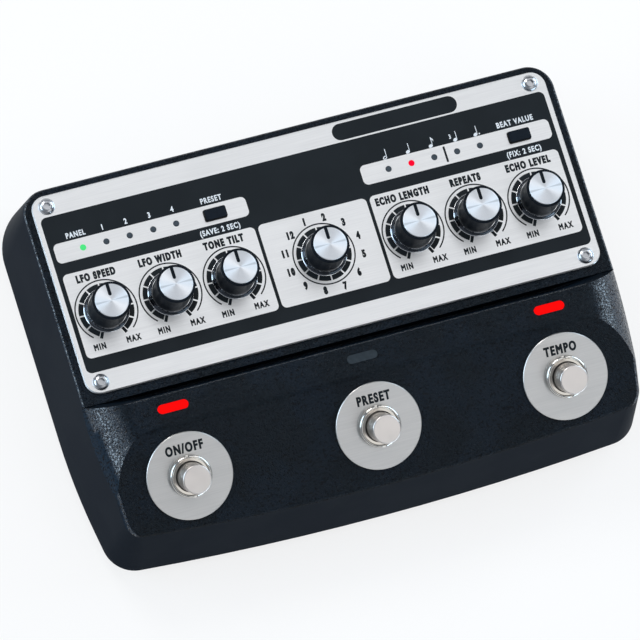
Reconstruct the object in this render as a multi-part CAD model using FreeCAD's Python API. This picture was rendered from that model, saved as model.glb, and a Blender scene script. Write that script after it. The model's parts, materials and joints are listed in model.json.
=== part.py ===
"""Analog delay pedal with three footswitches, a recessed control panel and a rear row of connectors.

Millimetres. +Z up, +X to the player's right, +Y to the rear. The origin is on the floor, under the middle.
"""
import FreeCAD, Part
import math
import os

from FreeCAD import Placement, Rotation, Vector

# Overall size and the stack of heights above the floor
WIDTH = 192.0
DEPTH = 133.0
HEIGHT = 52.0
FOOT_H = 5.0
BOTTOM_T = 1.2
CASE_Z = FOOT_H + BOTTOM_T
WALL = 2.5
PLATE_T = 1.0
KNOB_H = 12.3
PLATE_TOP = HEIGHT - KNOB_H
RIM_Z = PLATE_TOP - PLATE_T
ROOF_Z = RIM_Z - WALL

# Plan outline of the die-cast case at its bottom edge, and how far each wall leans in per mm of height.
# A pair holds a value at the bottom edge and the one that it would reach at LOFT_TOP_Z.
SIDE_DRAFT = 0.123
FRONT_DRAFT = 0.20
REAR_DRAFT = 0.18
REAR_CORNER_R = (19.3, 4.4)
FRONT_CORNER_R = (10.8, 3.0)
FRONT_CORNER_IN = (4.7, 3.8)
FLANK_BEND_Y = -31.0
FLANK_BEND_R = 220.0
BOW_R = 1014.0
LOFT_TOP_Z = 50.0

# Rear block and the raised hump in front of it
RIM_FRONT_Y = -13.05
HUMP_FOOT_Z = 38.1
RIDGE_Y = -16.95
RIDGE_Z = 45.5
STRIP_FRONT_Y = -27.0
STRIP_FRONT_Z = 46.3
STRIP_STEP = 1.2
STRIP_EDGE_R = 1.5
EDGE_R = 1.0
DECK_EDGE_R = 2.0

# Rounded shoulders at the hump's two ends, each a stretch of an ellipse
SHOULDER_X = 70.0
SHOULDER_W = 22.4
SHOULDER_H = 11.0
SHOULDER_TOP_Z = 46.35
SHOULDER_SLOPE = 62.0
SHOULDER_DRAWN_IN = 3.8

# Deep groove between the rear block and the ridge; it runs out before it reaches the sides
VALLEY_Z = 33.8
VALLEY_W = 0.7
GROOVE_TOP_Y = RIDGE_Y + 0.3
GROOVE_TOP_Z = RIDGE_Z - 0.55
GROOVE_FULL_X = 72.0
GROOVE_END_X = 87.0

# Hollow inside the case
HUMP_HOLLOW_Y = -19.0
DIP_REAR_Y = RIM_FRONT_Y + 3.5
STRIP_ROOF_Z = STRIP_FRONT_Z - WALL - 0.7

# Sloping deck that carries the footswitches
DECK_TILT = 22.9
SWITCH_X = (-65.0, 0.0, 65.0)
SWITCH_Y = -43.75
WASHER_TOP_Z = 39.46
WASHER_R = 14.5
WASHER_T = 0.8
WASHER_BEVEL = 0.15
BUSH_R = 6.0
BUSH_BORE_R = 5.2
BUSH_TOP = 1.9
NUT_R = 7.1
NUT_H = 2.4
NUT_EDGE_R = 0.8
PLUNGER_R = 4.85
PLUNGER_TOP = 9.6
PLUNGER_EDGE_R = 0.5
PLUNGER_DEPTH = 9.0
SWITCH_W = 17.0
SWITCH_H = 16.0
TAG_W = 1.0
TAG_L = 3.0
TAG_H = 3.5
TAG_X = (-5.0, 0.0, 5.0)
SPANNER_SLOT = 1.2

# Status lenses on the strip above the footswitches
LENS_Y = -21.6
LENS_L = 10.4
LENS_W = 3.0
LENS_DEPTH = 6.0
LENS_PROUD = 0.15
LENS_GAP = 0.1

# Control panel plate; positions below are measured from the middle of the plate
PLATE_Y = 24.1
PLATE_L = 178.5
PLATE_W = 68.5
PLATE_R = 5.0
PLATE_BEVEL = 0.35
SCREW_U = 84.0
SCREW_V = 30.5
KNOB_V = -7.9
KNOBS = {
    "speed": -75.2,
    "width": -53.2,
    "tone": -31.2,
    "selector": -0.2,
    "time": 30.8,
    "repeat": 52.8,
    "level": 74.8,
}
LED_V = 14.3
LED_U = (-76.4, -68.4, -60.4, -52.3, -44.4, 29.3, 37.3, 45.3, 53.3, 61.3)
LED_R = 1.0
BUTTON_V = 14.2
BUTTONS = {"select": -31.0, "divide": 75.0}
BUTTON_L = 7.5
BUTTON_W = 3.9
BUTTON_R = 0.6
BUTTON_PROUD = 1.2

# Knobs and the pots behind them
SKIRT_R = 7.6
SKIRT_GAP = 0.25
SKIRT_H = 2.0
SKIRT_LIP = 0.2
SKIRT_DISH = 0.7
KNOB_R = 6.4
KNOB_CAVITY_R = 5.6
CAP_R = 5.55
CAP_T = 0.6
CAP_PROUD = 0.25
POINTER_W = 1.1
POINTER_L = 3.4
KNOB_EDGE_R = 0.3
SHAFT_R = 3.0
POT_BUSH_R = 3.5
POT_BUSH_H = 2.0
POT_NUT_FLATS = 9.0
POT_NUT_H = 1.8
POT_L = 9.8
POT_W = 11.0
SELECTOR_W = 15.0

# Boards, all 1.6 thick; a size is half the length, then the front and rear edges
BOARD_T = 1.6
POT_BODY_H = 6.8
CONTROL_BOARD_TOP = ROOF_Z - POT_BODY_H
CONTROL_BOARD_BOTTOM = CONTROL_BOARD_TOP - BOARD_T
CONTROL_BOARD_SIZE = (80.0, -9.0, 54.0)
MAIN_BOARD_BOTTOM = 10.6
MAIN_BOARD_TOP = MAIN_BOARD_BOTTOM + BOARD_T
MAIN_BOARD_SIZE = (78.0, -30.0, 56.5)
STANDOFF_X = 74.0
STANDOFF_Y = (-4.0, 29.0)
STANDOFF_FLATS = 5.0
STUD_H = 4.0

# Parts on the boards
CHIP_X = (-52.0, -32.0, -12.0, 8.0)
CHIP_Y = (-2.0, 14.0)
CHIP_L = 9.8
CHIP_W = 6.4
CHIP_GAP = 0.5
CHIP_H = 3.4
CHIP_LEG_X = (-3.8, -1.27, 1.27, 3.8)
CHIP_LEG_W = 0.5
CHIP_LEG_T = 0.6
CHIP_LEG_H = 2.0
PROCESSOR_X = 40.0
PROCESSOR_L = 14.0
PROCESSOR_H = 1.6
CAPACITOR_COUNT = 10
CAPACITOR_X = -60.0
CAPACITOR_PITCH = 13.0
CAPACITOR_Y = 26.0
CAPACITOR_R = 2.5
CAPACITOR_H = 7.0
CABLE_X = 33.0
CABLE_Y = 11.0
CABLE_L = 19.0
CABLE_T = 0.8
PLUG_L = 22.0
PLUG_W = 5.0
PLUG_H = 4.0
TACT_W = 6.0
TACT_H = 2.6
TACT_STEM_R = 1.7
KEY_GAP = 0.6

# Rear connectors; a body is width, depth behind the pocket wall and height above the main board
CONNECTOR_Y = 59.5
POCKET_Y = 56.9
RECESS_X = 82.0
RECESS_Z = (10.8, 27.6)
JACK_X = (-64.0, -42.0, 28.0, 50.0)
JACK_Z = 19.2
JACK_BUSH_R = 4.7
JACK_BORE_R = 3.25
JACK_NUT_R = 6.8
JACK_NUT_H = 2.8
JACK_WASHER_H = 0.6
JACK_PROUD = 3.4
JACK_BORE_L = 20.0
JACK_BODY = (16.0, 22.0, 14.0)
NOSE_PROUD = 0.4
MINI_X = (-18.0, 2.0)
MINI_Z = 17.0
MINI_NOSE_R = 3.0
MINI_BORE_R = 1.8
MINI_BORE_L = 10.5
MINI_BODY = (7.0, 12.0, 8.2)
POWER_X = 72.0
POWER_Z = 18.4
POWER_NOSE_R = 4.6
POWER_BORE_R = 3.15
POWER_PIN_R = 1.0
POWER_PIN_SUNK = 1.0
POWER_BORE_L = 9.0
POWER_BODY = (10.0, 12.0, 11.0)

# Feet, bosses and their screws
FEET = [(x, y) for x in (-68.0, 68.0) for y in (-44.0, 44.0)]
FOOT_R = 9.0
SOLE_R = 8.1
SOLE_EDGE_R = 0.7
BOSS_PAIRS = ((84.0, 50.0), (86.0, 8.0), (82.0, -50.0))
BOSSES = [(side * x, y) for x, y in BOSS_PAIRS for side in (-1, 1)] + [(0.0, -55.0)]
BOSS_R = 3.5
M3_R = 1.5
HEAD_R = 2.8
HEAD_H = 1.6
BUTTON_HEAD_R = 2.75
BUTTON_HEAD_H = 1.3
BUTTON_SCREW_L = 6.0
KEY_FLATS = 2.0
CROSS_L = 3.0
CROSS_W = 0.6
FIT = 0.05

X_AXIS = Vector(1, 0, 0)
Y_AXIS = Vector(0, 1, 0)
Z_AXIS = Vector(0, 0, 1)


def box(x0, x1, y0, y1, z0, z1):
    """A block between two corners."""
    return Part.makeBox(x1 - x0, y1 - y0, z1 - z0, Vector(x0, y0, z0))


def post(x, y, z0, z1, r):
    """An upright round bar."""
    return Part.makeCylinder(r, z1 - z0, Vector(x, y, z0), Z_AXIS)


def rod(x, z, y0, y1, r):
    """A round bar along Y."""
    return Part.makeCylinder(r, y1 - y0, Vector(x, y0, z), Y_AXIS)


def fuse(shapes):
    """One solid from several that touch."""
    return shapes[0].fuse(shapes[1:]).removeSplitter() if len(shapes) > 1 else shapes[0]


def spin(profile, x=0.0, y=0.0):
    """A turned piece about the upright line through x, y, from (radius, height) points.

    A pair of points is an arc, through the first of them to the second.
    """
    def at(point):
        return Vector(x + point[0], y, point[1])

    here = at(profile[0])
    edges = []
    for step in profile[1:] + profile[:1]:
        if isinstance(step[0], tuple):
            middle, end = at(step[0]), at(step[1])
            edges.append(Part.Arc(here, middle, end).toShape())
        else:
            end = at(step)
            edges.append(Part.makeLine(here, end))
        here = end
    return Part.Face(Part.Wire(edges)).revolve(Vector(x, y, 0), Z_AXIS, 360)


def rounded_edge(r, z, edge_r, up=1):
    """The arc that rounds an outer edge at radius r and height z: its middle and its end.

    up is 1 at an upper edge and -1 at a lower one.
    """
    drawn_in = edge_r * (1 - math.sqrt(0.5))
    return (r - drawn_in, z - up * drawn_in), (r - edge_r, z)


def hexagon(x, y, z0, z1, flats):
    """An upright hexagonal bar."""
    r = flats / math.sqrt(3)
    turns = [math.radians(60 * i) for i in range(7)]
    points = [Vector(x + r * math.cos(turn), y + r * math.sin(turn), z0) for turn in turns]
    return Part.Face(Part.makePolygon(points)).extrude(Vector(0, 0, z1 - z0))


def uprights(shape):
    """The edges of a block that run up and down."""
    return [edge for edge in shape.Edges if edge.BoundBox.ZLength > 0.1]


def top_edges(shape, top_z):
    """The edges that lie in a shape's top face."""
    return [edge for edge in shape.Edges if edge.BoundBox.ZMin > top_z - 0.01]


def rounded_plate(x, y, length, width, r, z0, z1):
    """A flat plate with round corners."""
    hx = length / 2
    hy = width / 2
    plate = box(x - hx, x + hx, y - hy, y + hy, z0, z1)
    return plate.makeFillet(r, uprights(plate))


def on_deck(shape, x):
    """Places a shape drawn about the origin so that its Z is square to the deck at a footswitch."""
    placed = shape.copy()
    placed.Placement = Placement(Vector(x, SWITCH_Y, WASHER_TOP_Z), Rotation(X_AXIS, DECK_TILT))
    return placed


def knob_xy(name):
    """Plan position of a knob's axis."""
    return KNOBS[name], PLATE_Y + KNOB_V


def blend(pair, z):
    """A value that changes evenly with height, at height z."""
    low, high = pair
    return low + (high - low) * (z - CASE_Z) / (LOFT_TOP_Z - CASE_Z)


def rounded_corner(apex, start_way, end_way, r):
    """Start, middle and end of the arc that rounds a corner between two unit directions."""
    half = start_way.getAngle(end_way) / 2
    reach = r / math.tan(half)
    inward = (start_way + end_way).normalize()
    return apex + start_way * reach, apex + inward * (r / math.sin(half) - r), apex + end_way * reach


def plan_outline(z, inset):
    """The case's plan outline at height z: bowed front, bent flanks and round corners."""
    rise = z - CASE_Z
    side = WIDTH / 2 - SIDE_DRAFT * rise - inset
    rear = DEPTH / 2 - REAR_DRAFT * rise - inset
    front = -DEPTH / 2 + FRONT_DRAFT * rise + inset
    nose_x = side - blend(FRONT_CORNER_IN, z)
    nose = Vector(nose_x, front + nose_x ** 2 / (2 * BOW_R), z)
    bend = Vector(side, FLANK_BEND_Y, z)
    along_flank = (bend - nose).normalize()
    along_bow = Vector(-BOW_R, -nose_x, 0).normalize()
    rear_arc = rounded_corner(Vector(side, rear, z), -X_AXIS, -Y_AXIS, blend(REAR_CORNER_R, z) - inset)
    bend_arc = rounded_corner(bend, Y_AXIS, -along_flank, FLANK_BEND_R)
    nose_arc = rounded_corner(nose, along_flank, along_bow, blend(FRONT_CORNER_R, z) - inset)
    right = [rear_arc, bend_arc, nose_arc]

    def mirror(p):
        return Vector(-p.x, p.y, p.z)

    left = [tuple(mirror(p) for p in reversed(arc)) for arc in reversed(right)]
    bow = (nose_arc[2], Vector(0, front, z), mirror(nose_arc[2]))

    def half_outline(arcs):
        first, second, third = arcs
        half = [Part.Arc(*first), Part.LineSegment(first[2], second[0])]
        half += [Part.Arc(*second), Part.LineSegment(second[2], third[0])]
        return half + [Part.Arc(*third)]

    rear_edge = Part.LineSegment(left[-1][2], right[0][0])
    edges = [rear_edge] + half_outline(right) + [Part.Arc(*bow)] + half_outline(left)
    return Part.Wire([edge.toShape() for edge in edges])


def drafted_block(inset):
    """The case's four leaning walls, closed top and bottom."""
    low = plan_outline(CASE_Z, inset)
    high = plan_outline(LOFT_TOP_Z, inset)
    return Part.makeLoft([low, high], True, True)


def deck_z(y, drop):
    """Height of the deck at y, for a surface that lies drop below the washers' top faces."""
    slope = math.radians(DECK_TILT)
    return WASHER_TOP_Z - drop / math.cos(slope) + (y - SWITCH_Y) * math.tan(slope)


def side_slice(points, z_low):
    """A block across the whole width under a line of (y, z) points that runs to the front."""
    start = [Vector(-WIDTH, points[0][0], z_low)]
    end = [Vector(-WIDTH, points[-1][0], z_low)]
    top = [Vector(-WIDTH, y, z) for y, z in points]
    loop = start + top + end
    return Part.Face(Part.makePolygon(loop + loop[:1])).extrude(Vector(2 * WIDTH, 0, 0))


def shoulder_block(y_rear, inset):
    """The hump's cross-section with two rounded shoulders, drawn in a little towards the front."""
    slope = math.radians(SHOULDER_SLOPE)
    half_w = SHOULDER_W - inset
    half_h = SHOULDER_H - inset
    centre_z = SHOULDER_TOP_Z - inset - half_h
    foot_turn = math.atan(half_h / (half_w * math.tan(slope)))
    foot_z = centre_z + half_h * math.sin(foot_turn)
    clear_x = WIDTH / 2 + 2
    sections = []
    for y, drawn_in in ((y_rear, 0.0), (-DEPTH / 2, SHOULDER_DRAWN_IN)):
        centre_x = SHOULDER_X - drawn_in
        foot_x = centre_x + half_w * math.cos(foot_turn)
        skirt_z = foot_z - (clear_x - foot_x) * math.tan(slope)
        arcs = []
        for side in (1, -1):
            centre = Vector(side * centre_x, y, centre_z)
            oval = Part.Ellipse(centre + X_AXIS * side * half_w, centre + Z_AXIS * half_h, centre)
            arcs.append(Part.ArcOfEllipse(oval, foot_turn, math.pi / 2).toShape())
        crown = [Vector(side * centre_x, y, centre_z + half_h) for side in (1, -1)]
        skirt = [
            Vector(-foot_x, y, foot_z),
            Vector(-clear_x, y, skirt_z),
            Vector(-clear_x, y, 0),
            Vector(clear_x, y, 0),
            Vector(clear_x, y, skirt_z),
            Vector(foot_x, y, foot_z),
        ]
        edges = [arcs[0], Part.makeLine(*crown), arcs[1]]
        edges += [Part.makeLine(a, b) for a, b in zip(skirt, skirt[1:])]
        sections.append(Part.Wire(Part.__sortEdges__(edges)))
    return Part.makeLoft(sections, True, True)


def outer_body():
    """The case's outer form as one closed solid, still without its groove."""
    far = DEPTH
    step_y = STRIP_FRONT_Y - STRIP_STEP
    rear_line = [(far, RIM_Z), (RIM_FRONT_Y, RIM_Z)]
    hump_line = [
        (RIM_FRONT_Y, HUMP_FOOT_Z),
        (RIDGE_Y, RIDGE_Z),
        (STRIP_FRONT_Y, STRIP_FRONT_Z),
        (step_y, deck_z(step_y, WASHER_T)),
        (-far, deck_z(-far, WASHER_T)),
    ]
    walls = drafted_block(0.0)
    rear_block = walls.common(side_slice(rear_line, 0.0))
    hump = walls.common(side_slice(hump_line, -far)).common(shoulder_block(RIM_FRONT_Y, 0.0))
    return rear_block.fuse(hump).removeSplitter()


def groove_cutters():
    """The groove's middle stretch, and a wedge at each end where it runs out."""
    over_z = SHOULDER_TOP_Z + 1
    steepness = (GROOVE_TOP_Y - RIM_FRONT_Y + VALLEY_W) / (GROOVE_TOP_Z - VALLEY_Z)
    over_y = GROOVE_TOP_Y + steepness * (over_z - GROOVE_TOP_Z)

    def outline(x, floor_z, floor_w):
        rear_wall = [Vector(x, RIM_FRONT_Y, over_z), Vector(x, RIM_FRONT_Y, floor_z)]
        front_slope = [Vector(x, RIM_FRONT_Y - floor_w, floor_z), Vector(x, over_y, over_z)]
        return Part.makePolygon(front_slope[1:] + rear_wall + front_slope)

    start = outline(-GROOVE_FULL_X, VALLEY_Z, VALLEY_W)
    cutters = [Part.Face(start).extrude(Vector(2 * GROOVE_FULL_X, 0, 0))]
    for side in (-1, 1):
        full = outline(side * GROOVE_FULL_X, VALLEY_Z, VALLEY_W)
        spent = outline(side * GROOVE_END_X, HUMP_FOOT_Z + 0.2, 0.01)
        cutters.append(Part.makeLoft([full, spent], True, True))
    return cutters


def inner_body():
    """The hollow inside the case, without the bosses and the connector pocket."""
    far = DEPTH
    dip_z = VALLEY_Z - WALL
    step_y = STRIP_FRONT_Y - STRIP_STEP
    rear_line = [(far, ROOF_Z), (DIP_REAR_Y, ROOF_Z), (DIP_REAR_Y, dip_z), (HUMP_HOLLOW_Y, dip_z)]
    hump_line = [
        (HUMP_HOLLOW_Y, STRIP_ROOF_Z),
        (STRIP_FRONT_Y, STRIP_ROOF_Z),
        (step_y, deck_z(step_y, WASHER_T + WALL)),
        (-far, deck_z(-far, WASHER_T + WALL)),
    ]
    walls = drafted_block(WALL)
    rear_hollow = walls.common(side_slice(rear_line, 0.0))
    front_hollow = walls.common(side_slice(hump_line, -far)).common(shoulder_block(HUMP_HOLLOW_Y, WALL))
    return rear_hollow.fuse(front_hollow)


def round_edges(body):
    """Softens the rim of the rear block, the ridge, the strip's front edge and the deck's front edge."""
    def at_rim(edge):
        low = edge.BoundBox.ZMin
        return abs(low - RIM_Z) < 0.01 and edge.BoundBox.YMax > RIM_FRONT_Y + 0.1

    def at_ridge(edge):
        b = edge.BoundBox
        return abs(b.YMin - RIDGE_Y) < 0.3 and abs(b.YMax - RIDGE_Y) < 0.3 and b.XLength > 100

    def at_strip_front(edge):
        b = edge.BoundBox
        return abs(b.YMin - STRIP_FRONT_Y) < 0.3 and abs(b.YMax - STRIP_FRONT_Y) < 0.3 and b.XLength > 100

    def at_deck_front(edge):
        b = edge.BoundBox
        return b.YMax < -45 and b.ZMin > CASE_Z + 15 and b.XLength > 1

    roundings = (
        (at_rim, EDGE_R),
        (at_ridge, EDGE_R),
        (at_strip_front, STRIP_EDGE_R),
        (at_deck_front, DECK_EDGE_R),
    )
    for chosen, radius in roundings:
        edges = [edge for edge in body.Edges if chosen(edge)]
        body = body.makeFillet(radius, edges)
    return body


def lens_outline(grow, depth, proud):
    """A status lens: a stadium drawn about the origin and then laid on the strip."""
    half = LENS_L / 2 - LENS_W / 2
    r = LENS_W / 2 + grow
    height = depth + proud
    ends = [Part.makeCylinder(r, height, Vector(sx * half, 0, -depth)) for sx in (-1, 1)]
    middle = Part.makeBox(2 * half, 2 * r, height, Vector(-half, -r, -depth))
    return fuse([middle] + ends)


def on_strip(shape, x):
    """Places a shape on the strip with its Z square to it."""
    tilt = math.degrees(math.atan2(RIDGE_Z - STRIP_FRONT_Z, RIDGE_Y - STRIP_FRONT_Y))
    t = (LENS_Y - STRIP_FRONT_Y) / (RIDGE_Y - STRIP_FRONT_Y)
    z = STRIP_FRONT_Z + t * (RIDGE_Z - STRIP_FRONT_Z)
    placed = shape.copy()
    placed.Placement = Placement(Vector(x, LENS_Y, z), Rotation(X_AXIS, tilt))
    return placed


def panel_holes(z0, z1, spread):
    """Everything that passes through the panel: pot bushes, lamps and button windows."""
    y = PLATE_Y
    holes = [post(u, y + KNOB_V, z0, z1, POT_BUSH_R + FIT) for u in KNOBS.values()]
    holes += [post(u, y + LED_V, z0, z1, LED_R + FIT) for u in LED_U]
    for u in BUTTONS.values():
        length = BUTTON_L + 2 * spread
        width = BUTTON_W + 2 * spread
        holes.append(rounded_plate(u, y + BUTTON_V, length, width, BUTTON_R + spread, z0, z1))
    return holes


def screw_places():
    """Plan positions of the four screws that hold the panel plate."""
    return [(su * SCREW_U, PLATE_Y + sv * SCREW_V) for su in (-1, 1) for sv in (-1, 1)]


def upper_case():
    """The die-cast upper shell with its bosses and openings."""
    hollow = inner_body()
    recess_low, recess_high = RECESS_Z
    pocket_x = RECESS_X + WALL
    pocket = box(-pocket_x, pocket_x, POCKET_Y, DEPTH, recess_low - WALL, recess_high + WALL)
    hollow = hollow.cut([pocket] + [post(x, y, 0, HEIGHT, BOSS_R) for x, y in BOSSES])
    shell = round_edges(outer_body()).cut([hollow] + groove_cutters())
    cuts = [box(-RECESS_X, RECESS_X, CONNECTOR_Y, DEPTH, recess_low, recess_high)]
    cuts += panel_holes(ROOF_Z - 1, HEIGHT, KEY_GAP / 3)
    cuts += [post(x, y, ROOF_Z - 4, HEIGHT, M3_R) for x, y in screw_places()]
    cuts += [post(x, y, 0, CASE_Z + 9, M3_R) for x, y in BOSSES]
    hole = Part.makeCylinder(BUSH_R + FIT, 30, Vector(0, 0, -15))
    cuts += [on_deck(hole, x) for x in SWITCH_X]
    cuts += [on_strip(lens_outline(LENS_GAP, LENS_DEPTH + 2, 2), x) for x in SWITCH_X]
    cuts += [rod(x, JACK_Z, POCKET_Y - 1, DEPTH, JACK_BUSH_R + FIT) for x in JACK_X]
    cuts += [rod(x, MINI_Z, POCKET_Y - 1, DEPTH, MINI_NOSE_R + FIT) for x in MINI_X]
    cuts.append(rod(POWER_X, POWER_Z, POCKET_Y - 1, DEPTH, POWER_NOSE_R + FIT))
    return shell.cut(cuts)


def bottom_plate():
    """The folded-flat steel plate that closes the case."""
    outline = plan_outline(CASE_Z, 1.5)
    plate = Part.Face(outline).extrude(Vector(0, 0, -BOTTOM_T))
    return plate.cut([post(x, y, 0, CASE_Z + 1, M3_R + 0.2) for x, y in BOSSES])


def pan_screw(x, y, seat_z, shank_l):
    """A screw with a rounded head below its seat."""
    shank_r = M3_R - FIT
    profile = [
        (0, seat_z - HEAD_H),
        (HEAD_R * 0.6, seat_z - HEAD_H),
        ((HEAD_R * 0.9, seat_z - HEAD_H * 0.75), (HEAD_R, seat_z - HEAD_H * 0.4)),
        (HEAD_R, seat_z),
        (shank_r, seat_z),
        (shank_r, seat_z + shank_l),
        (0, seat_z + shank_l),
    ]
    return spin(profile, x, y)


def bottom_screws():
    """The screws that hold the bottom plate, each with a cross recess."""
    low = FOOT_H - HEAD_H - 0.4
    high = FOOT_H - 0.6
    screws = []
    for x, y in BOSSES:
        screw = pan_screw(x, y, FOOT_H, BOTTOM_T + 8)
        cross = [
            box(x - half_l, x + half_l, y - half_w, y + half_w, low, high)
            for half_l, half_w in ((CROSS_L / 2, CROSS_W / 2), (CROSS_W / 2, CROSS_L / 2))
        ]
        screws.append(screw.cut(cross))
    return screws


def panel_screws():
    """Button-head socket screws at the plate's corners."""
    top = PLATE_TOP + BUTTON_HEAD_H
    low = PLATE_TOP - BUTTON_SCREW_L
    profile = [
        (0, top),
        (BUTTON_HEAD_R * 0.5, top),
        ((BUTTON_HEAD_R * 0.8, top - 0.35), (BUTTON_HEAD_R, PLATE_TOP + 0.25)),
        (BUTTON_HEAD_R - 0.1, PLATE_TOP),
        (M3_R - FIT, PLATE_TOP),
        (M3_R - FIT, low),
        (0, low),
    ]
    screws = []
    for x, y in screw_places():
        screw = spin(profile, x, y)
        key_socket = hexagon(x, y, PLATE_TOP + 0.35, HEIGHT, KEY_FLATS)
        screws.append(screw.cut(key_socket))
    return screws


def panel_plate():
    """The aluminium control panel with its bevelled edge."""
    plate = rounded_plate(0, PLATE_Y, PLATE_L, PLATE_W, PLATE_R, RIM_Z, PLATE_TOP)
    plate = plate.makeChamfer(PLATE_BEVEL, top_edges(plate, PLATE_TOP))
    cuts = panel_holes(RIM_Z - 1, HEIGHT, KEY_GAP / 4)
    cuts += [post(x, y, RIM_Z - 1, HEIGHT, M3_R + 0.1) for x, y in screw_places()]
    return plate.cut(cuts)


def rubber_feet():
    """Four round feet with a drawn-in sole."""
    profile = [
        (0, FOOT_H),
        (FOOT_R, FOOT_H),
        (FOOT_R, FOOT_H - 0.8),
        (SOLE_R, SOLE_EDGE_R),
        rounded_edge(SOLE_R, 0, SOLE_EDGE_R, -1),
        (0, 0),
    ]
    return [spin(profile, x, y) for x, y in FEET]


def footswitch_washer():
    """The wide steel label washer under a footswitch nut, drawn about the origin."""
    disc = Part.makeCylinder(WASHER_R, WASHER_T, Vector(0, 0, -WASHER_T))
    disc = disc.makeChamfer(WASHER_BEVEL, top_edges(disc, 0))
    return disc.cut(Part.makeCylinder(BUSH_R + FIT, 4, Vector(0, 0, -2)))


def footswitch_nut():
    """The round dress nut with two spanner slots."""
    profile = [
        (BUSH_R + FIT, 0),
        (NUT_R - 0.15, 0),
        (NUT_R, 0.15),
        (NUT_R, NUT_H - NUT_EDGE_R),
        rounded_edge(NUT_R, NUT_H, NUT_EDGE_R),
        (BUSH_R + FIT, NUT_H - 0.35),
    ]
    nut = spin(profile)
    half = SPANNER_SLOT / 2
    corners = [Vector(-half, side * NUT_R - half, NUT_H - 1.0) for side in (-1, 1)]
    return nut.cut([Part.makeBox(SPANNER_SLOT, SPANNER_SLOT, SPANNER_SLOT, corner) for corner in corners])


def footswitch_body():
    """The switch housing under the deck with its threaded bush and solder tags."""
    top = -WASHER_T - WALL
    bush = Part.makeCylinder(BUSH_R, BUSH_TOP - top, Vector(0, 0, top))
    half = SWITCH_W / 2
    housing = Part.makeBox(SWITCH_W, SWITCH_W, SWITCH_H, Vector(-half, -half, top - SWITCH_H))
    housing = housing.makeChamfer(1.0, uprights(housing))
    tag_z = top - SWITCH_H - TAG_H
    tags = [Part.makeBox(TAG_W, TAG_L, TAG_H, Vector(x - TAG_W / 2, -TAG_L / 2, tag_z)) for x in TAG_X]
    bore = Part.makeCylinder(BUSH_BORE_R, SWITCH_H + PLUNGER_TOP, Vector(0, 0, top - PLUNGER_DEPTH))
    return fuse([housing, bush] + tags).cut(bore)


def plunger():
    """The steel button that the foot presses."""
    profile = [
        (0, -PLUNGER_DEPTH),
        (PLUNGER_R, -PLUNGER_DEPTH),
        (PLUNGER_R, PLUNGER_TOP - PLUNGER_EDGE_R),
        rounded_edge(PLUNGER_R, PLUNGER_TOP, PLUNGER_EDGE_R),
        (0, PLUNGER_TOP),
    ]
    return spin(profile)


def panel_leds():
    """Ten small round lamps, flush with the panel."""
    y = PLATE_Y + LED_V
    profile = [
        (0, CONTROL_BOARD_TOP),
        (LED_R + 0.45, CONTROL_BOARD_TOP),
        (LED_R + 0.45, ROOF_Z - 0.2),
        (LED_R, ROOF_Z - 0.2),
        (LED_R, PLATE_TOP - 0.05),
        (LED_R * 0.75, PLATE_TOP + 0.1),
        (0, PLATE_TOP + 0.18),
    ]
    return [spin(profile, u, y) for u in LED_U]


def button_cap(u):
    """A small push button with a flange that keeps it under the roof."""
    y = PLATE_Y + BUTTON_V
    top = PLATE_TOP + BUTTON_PROUD
    stem = rounded_plate(u, y, BUTTON_L, BUTTON_W, BUTTON_R, CONTROL_BOARD_TOP + TACT_H + 1.5, top)
    stem = stem.makeFillet(0.3, top_edges(stem, top))
    flange = rounded_plate(u, y, BUTTON_L + 2, BUTTON_W + 2, BUTTON_R, ROOF_Z - 1.3, ROOF_Z - 0.2)
    return fuse([stem, flange])


def tact_switches():
    """The two small switches on the control board under the buttons."""
    y = PLATE_Y + BUTTON_V
    shapes = []
    half = TACT_W / 2
    body_top = CONTROL_BOARD_TOP + TACT_H
    for u in BUTTONS.values():
        base = box(u - half, u + half, y - half, y + half, CONTROL_BOARD_TOP, body_top)
        stem = post(u, y, body_top, body_top + 1.5 - KEY_GAP, TACT_STEM_R)
        shapes.append(fuse([base, stem]))
    return shapes


def pot_body(x, y, length, width):
    """A rotary control's housing with its threaded bush; the shaft turns in the bore."""
    housing = box(x - length / 2, x + length / 2, y - width / 2, y + width / 2, CONTROL_BOARD_TOP, ROOF_Z)
    bush = post(x, y, ROOF_Z, PLATE_TOP + POT_BUSH_H, POT_BUSH_R)
    bore = post(x, y, CONTROL_BOARD_TOP + 0.8, HEIGHT, SHAFT_R + FIT)
    return fuse([housing, bush]).cut(bore)


def potentiometers():
    """The six pots."""
    return [pot_body(*knob_xy(name), POT_L, POT_W) for name in KNOBS if name != "selector"]


def selector_switch():
    """The twelve-way rotary switch."""
    return pot_body(*knob_xy("selector"), SELECTOR_W, SELECTOR_W)


def pot_nuts():
    """Hexagonal nuts that hold the pots to the panel."""
    nuts = []
    for name in KNOBS:
        x, y = knob_xy(name)
        nut = hexagon(x, y, PLATE_TOP, PLATE_TOP + POT_NUT_H, POT_NUT_FLATS)
        nuts.append(nut.cut(post(x, y, PLATE_TOP - 1, HEIGHT, POT_BUSH_R + FIT)))
    return nuts


def knob_shaft(name):
    """The pot's spindle."""
    x, y = knob_xy(name)
    return post(x, y, CONTROL_BOARD_TOP + 1.0, HEIGHT - 2.6, SHAFT_R)


def knob_skirt(name):
    """The bright flared ring at the foot of a knob."""
    low = PLATE_TOP + SKIRT_GAP
    high = PLATE_TOP + SKIRT_H
    profile = [
        (KNOB_CAVITY_R, low),
        (SKIRT_R - SKIRT_LIP / 2, low),
        ((SKIRT_R, low + SKIRT_LIP / 2), (SKIRT_R - SKIRT_LIP / 2, low + SKIRT_LIP)),
        ((SKIRT_R - SKIRT_DISH, low + SKIRT_DISH), (KNOB_R + 0.15, high)),
        (KNOB_CAVITY_R, high),
    ]
    return spin(profile, *knob_xy(name))


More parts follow.
